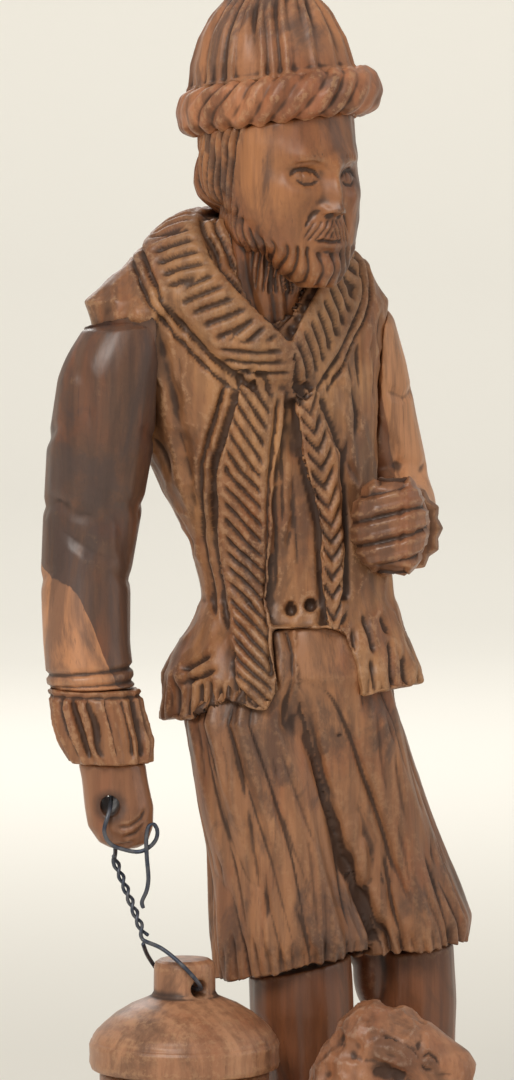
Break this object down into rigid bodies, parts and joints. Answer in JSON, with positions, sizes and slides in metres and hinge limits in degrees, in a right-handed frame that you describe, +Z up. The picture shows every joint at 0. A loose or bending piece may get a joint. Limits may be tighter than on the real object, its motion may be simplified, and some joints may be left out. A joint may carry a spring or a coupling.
{
  "type": "carved shepherd figurine",
  "caption": "Carved wooden shepherd in a cap, vest and baggy trousers on an oval base, with a sheep at the feet and a lantern swinging on twisted wire from the right hand.",
  "frame": {"origin": "centre of the base's underside", "axes": "+Z up; the figure faces -Y; its right hand, with the lantern, is on the -X side"},
  "size_m": [0.0925, 0.068, 0.25],
  "materials": {
    "base_wood": "dark stained carved wood, satin varnish",
    "boot_wood": "dark carved wood, satin varnish",
    "calf_wood": "smooth carved wood, satin varnish",
    "trouser_wood": "gouged wood, dusty satin",
    "vest_wood": "gouged wood, dusty satin",
    "trim_wood": "hatched carved wood, satin",
    "shirt_wood": "gouged wood, satin",
    "cuff_wood": "ribbed carved wood, satin",
    "right_sleeve_wood": "smooth wood, dark heartwood above pale sapwood, satin varnish",
    "left_sleeve_wood": "smooth wood with a pale sapwood edge, satin varnish",
    "hand_wood": "smooth carved wood, satin varnish",
    "skin_wood": "smooth carved wood, satin varnish",
    "cap_wood": "fluted carved wood, dusty satin",
    "brim_wood": "rope-grooved carved wood, satin",
    "sheep_wood": "gouged wood, dusty satin",
    "wire": "dull dark grey craft wire",
    "lantern_cap_wood": "turned wood, satin varnish",
    "lantern_body_wood": "turned wood, satin varnish"
  },
  "bodies": {
    "figure": {"base": "base_wood", "right_boot": "boot_wood", "left_boot": "boot_wood", "right_calf": "calf_wood", "left_calf": "calf_wood", "right_trouser_leg": "trouser_wood", "left_trouser_leg": "trouser_wood", "vest": "vest_wood", "right_front_trim": "trim_wood", "left_front_trim": "trim_wood", "shirt_front": "shirt_wood", "fur_collar": "trim_wood", "right_cuff": "cuff_wood", "left_cuff": "cuff_wood", "right_sleeve": "right_sleeve_wood", "left_sleeve": "left_sleeve_wood", "right_hand": "hand_wood", "left_hand": "hand_wood", "neck": "skin_wood", "head": "skin_wood", "cap_crown": "cap_wood", "cap_brim": "brim_wood", "sheep_body": "sheep_wood", "sheep_head": "sheep_wood"},
    "hanger": {"hanger_wire": "wire", "lantern_loop": "wire"},
    "lantern": {"lantern_cap": "lantern_cap_wood", "lantern_body": "lantern_body_wood"}
  },
  "joints": [
    {"name": "wire_pivot", "type": "hinge", "parent": "figure", "child": "hanger", "pos_m": [-0.0387, 0.0101, 0.1014], "axis": [0.4728, 0.8189, 0.3253], "range_deg": [-1, 55]},
    {"name": "lantern_swing", "type": "hinge", "parent": "hanger", "child": "lantern", "pos_m": [-0.0291, 0, 0.0675], "axis": [0, 1, 0], "range_deg": [-6, 30]}
  ]
}
